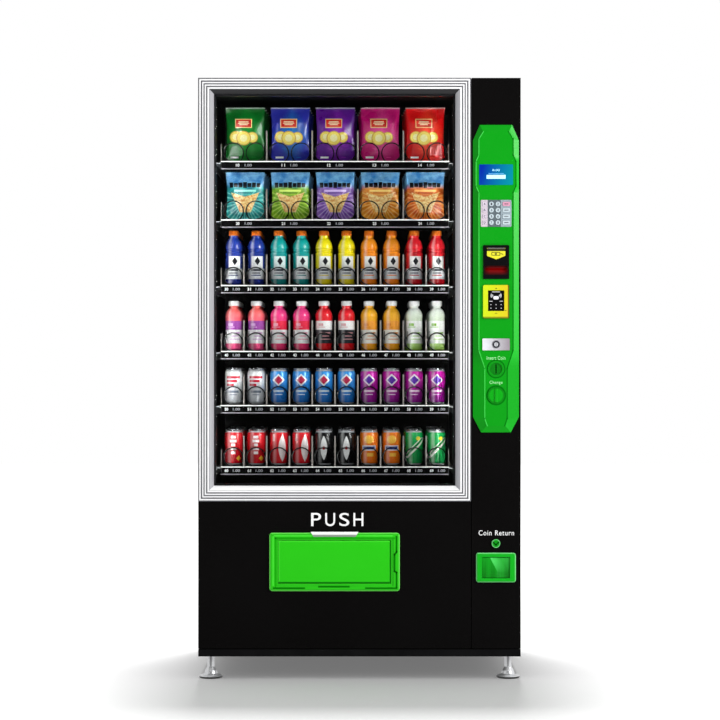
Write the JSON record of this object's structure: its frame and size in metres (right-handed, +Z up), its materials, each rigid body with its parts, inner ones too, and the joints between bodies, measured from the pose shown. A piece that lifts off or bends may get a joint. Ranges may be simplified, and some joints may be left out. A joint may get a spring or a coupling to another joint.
{
  "type": "snack vending machine",
  "caption": "Glass-front spiral vending machine with a hinged door, sliding trays, a control column, a push-in delivery flap and levelling feet.",
  "frame": {"origin": "middle of the footprint, at floor level", "axes": "+Z up, -Y towards the customer, +X to the customer's right"},
  "size_m": [1.04, 0.8, 1.94],
  "materials": {
    "black_paint": "satin powder coat",
    "gloss_black": "gloss enamel",
    "galvanised": "galvanised sheet",
    "steel": "brushed",
    "foot_chrome": "polished",
    "liner": "matt black moulding",
    "foam": "rigid foam",
    "fins": "mill finish",
    "dark_plastic": "moulded",
    "grey_plastic": "moulded",
    "silver_trim": "satin anodised",
    "glass": "clear",
    "seal": "matt",
    "lamp": "diffuser",
    "green_plastic": "gloss moulded",
    "yellow_plastic": "gloss moulded",
    "pale_plastic": "gloss moulded",
    "screen": "lit screen",
    "keypad_metal": "satin",
    "key_metal": "satin",
    "tray_paint": "satin powder coat",
    "spiral_wire": "coated wire",
    "snack_film": "printed film",
    "bottle": "clear moulded",
    "can": "printed can",
    "print": "printed label"
  },
  "bodies": {
    "cabinet": {"cabinet_shell": "black_paint", "base_frame": "black_paint", "levelling_feet": "foot_chrome", "inner_liner": "liner", "insulation_foam": "foam", "rear_panel": "galvanised", "tray_runners": "galvanised", "air_duct": "liner", "delivery_bin": "dark_plastic", "evaporator_unit": "dark_plastic", "compressor": "black_paint", "condenser": "fins", "fan_shroud": "dark_plastic", "control_box": "grey_plastic", "power_inlet": "dark_plastic", "hinge_brackets": "galvanised", "hinge_pins": "steel", "lock_strike": "galvanised"},
    "door": {"door_frame": "black_paint", "lower_panel": "gloss_black", "column_panel": "gloss_black", "window_trim": "silver_trim", "glass_outer": "glass", "glass_inner": "glass", "glazing_spacer": "dark_plastic", "door_gasket": "seal", "light_strips": "lamp", "control_fascia": "green_plastic", "display_screen": "screen", "keypad_plate": "keypad_metal", "bill_acceptor": "dark_plastic", "card_reader": "yellow_plastic", "lock_plate": "steel", "coin_slot": "green_plastic", "coin_mechanism": "dark_plastic", "coin_return_cup": "green_plastic", "delivery_bezel": "green_plastic", "push_tab": "pale_plastic"},
    "fan": {"condenser_fan": "dark_plastic"},
    "lock": {"lock_barrel": "steel", "lock_cam": "galvanised"},
    "knob": {"change_knob": "green_plastic"},
    "keys": {"keypad_keys": "key_metal"},
    "button": {"return_button": "green_plastic"},
    "coin_flap": {"coin_return_flap": "green_plastic"},
    "flap": {"delivery_flap": "green_plastic"},
    "tray_1": {"tray_1": "tray_paint"},
    "tray_2": {"tray_2": "tray_paint"},
    "tray_3": {"tray_3": "tray_paint"},
    "tray_4": {"tray_4": "tray_paint"},
    "tray_5": {"tray_5": "tray_paint"},
    "tray_6": {"tray_6": "tray_paint"},
    "spiral_1_left": {"spiral_row1_left": "spiral_wire"},
    "spiral_1_right": {"spiral_row1_right": "spiral_wire"},
    "packs_1": {"snack_packs_row1": "snack_film"},
    "spiral_2_left": {"spiral_row2_left": "spiral_wire"},
    "spiral_2_right": {"spiral_row2_right": "spiral_wire"},
    "packs_2": {"snack_packs_row2": "snack_film"},
    "spiral_3": {"spiral_row3": "spiral_wire"},
    "spiral_6": {"spiral_row6": "spiral_wire"}
  },
  "joints": [
    {"name": "door_swing", "type": "hinge", "parent": "cabinet", "child": "door", "pos_m": [-0.508, -0.33, 1.02], "axis": [0, 0, -1], "range_deg": [0, 105]},
    {"name": "fan_spin", "type": "hinge", "parent": "cabinet", "child": "fan", "pos_m": [0.1, 0.284, 0.182], "axis": [0, 1, 0], "continuous": true},
    {"name": "lock_turn", "type": "hinge", "parent": "door", "child": "lock", "pos_m": [0.44, -0.35, 1.0805], "axis": [0, 1, 0], "range_deg": [0, 90]},
    {"name": "knob_turn", "type": "hinge", "parent": "door", "child": "knob", "pos_m": [0.44, -0.39, 0.9165], "axis": [0, 1, 0], "range_deg": [0, 60], "stiffness_Nm_per_rad": 0.05},
    {"name": "keys_press", "type": "slide", "parent": "door", "child": "keys", "axis": [0, 1, 0], "range_m": [0, 0.0015], "stiffness_N_per_m": 600},
    {"name": "return_button_press", "type": "slide", "parent": "door", "child": "button", "axis": [0, 1, 0], "range_m": [0, 0.004], "stiffness_N_per_m": 400},
    {"name": "coin_flap_swing", "type": "hinge", "parent": "door", "child": "coin_flap", "pos_m": [0.44, -0.3855, 0.3915], "axis": [1, 0, 0], "range_deg": [0, 70]},
    {"name": "delivery_flap_swing", "type": "hinge", "parent": "door", "child": "flap", "pos_m": [-0.08, -0.3855, 0.446], "axis": [1, 0, 0], "range_deg": [0, 70]},
    {"name": "tray_row1_slide", "type": "slide", "parent": "cabinet", "child": "tray_1", "axis": [0, -1, 0], "range_m": [0, 0.1]},
    {"name": "tray_row2_slide", "type": "slide", "parent": "cabinet", "child": "tray_2", "axis": [0, -1, 0], "range_m": [0, 0.1]},
    {"name": "tray_row3_slide", "type": "slide", "parent": "cabinet", "child": "tray_3", "axis": [0, -1, 0], "range_m": [0, 0.1]},
    {"name": "tray_row4_slide", "type": "slide", "parent": "cabinet", "child": "tray_4", "axis": [0, -1, 0], "range_m": [0, 0.1]},
    {"name": "tray_row5_slide", "type": "slide", "parent": "cabinet", "child": "tray_5", "axis": [0, -1, 0], "range_m": [0, 0.1]},
    {"name": "tray_row6_slide", "type": "slide", "parent": "cabinet", "child": "tray_6", "axis": [0, -1, 0], "range_m": [0, 0.1]},
    {"name": "spiral_row1_turn", "type": "hinge", "parent": "tray_1", "child": "spiral_1_left", "pos_m": [-0.1175, 0.1, 1.7205], "axis": [0, 1, 0], "range_deg": [0, 360]},
    {"name": "spiral_row1_counter_turn", "type": "hinge", "parent": "tray_1", "child": "spiral_1_right", "pos_m": [-0.0445, 0.1, 1.7205], "axis": [0, 1, 0], "range_deg": [-360, 0]},
    {"name": "packs_row1_advance", "type": "slide", "parent": "tray_1", "child": "packs_1", "axis": [0, -1, 0], "range_m": [0, 0.07]},
    {"name": "spiral_row2_turn", "type": "hinge", "parent": "tray_2", "child": "spiral_2_left", "pos_m": [-0.1175, 0.1, 1.5275], "axis": [0, 1, 0], "range_deg": [0, 360]},
    {"name": "spiral_row2_counter_turn", "type": "hinge", "parent": "tray_2", "child": "spiral_2_right", "pos_m": [-0.0445, 0.1, 1.5275], "axis": [0, 1, 0], "range_deg": [-360, 0]},
    {"name": "packs_row2_advance", "type": "slide", "parent": "tray_2", "child": "packs_2", "axis": [0, -1, 0], "range_m": [0, 0.07]},
    {"name": "spiral_row3_turn", "type": "hinge", "parent": "tray_3", "child": "spiral_3", "pos_m": [-0.1187, 0.1, 1.3085], "axis": [0, 1, 0], "continuous": true},
    {"name": "spiral_row6_turn", "type": "hinge", "parent": "tray_6", "child": "spiral_6", "pos_m": [-0.1187, 0.1, 0.7085], "axis": [0, 1, 0], "continuous": true}
  ],
  "couplings": [
    {"joint": "spiral_row1_counter_turn", "follows": "spiral_row1_turn", "ratio": -1},
    {"joint": "packs_row1_advance", "follows": "spiral_row1_turn", "m_per_rad": 0.01114},
    {"joint": "spiral_row2_counter_turn", "follows": "spiral_row2_turn", "ratio": -1},
    {"joint": "packs_row2_advance", "follows": "spiral_row2_turn", "m_per_rad": 0.01114}
  ]
}
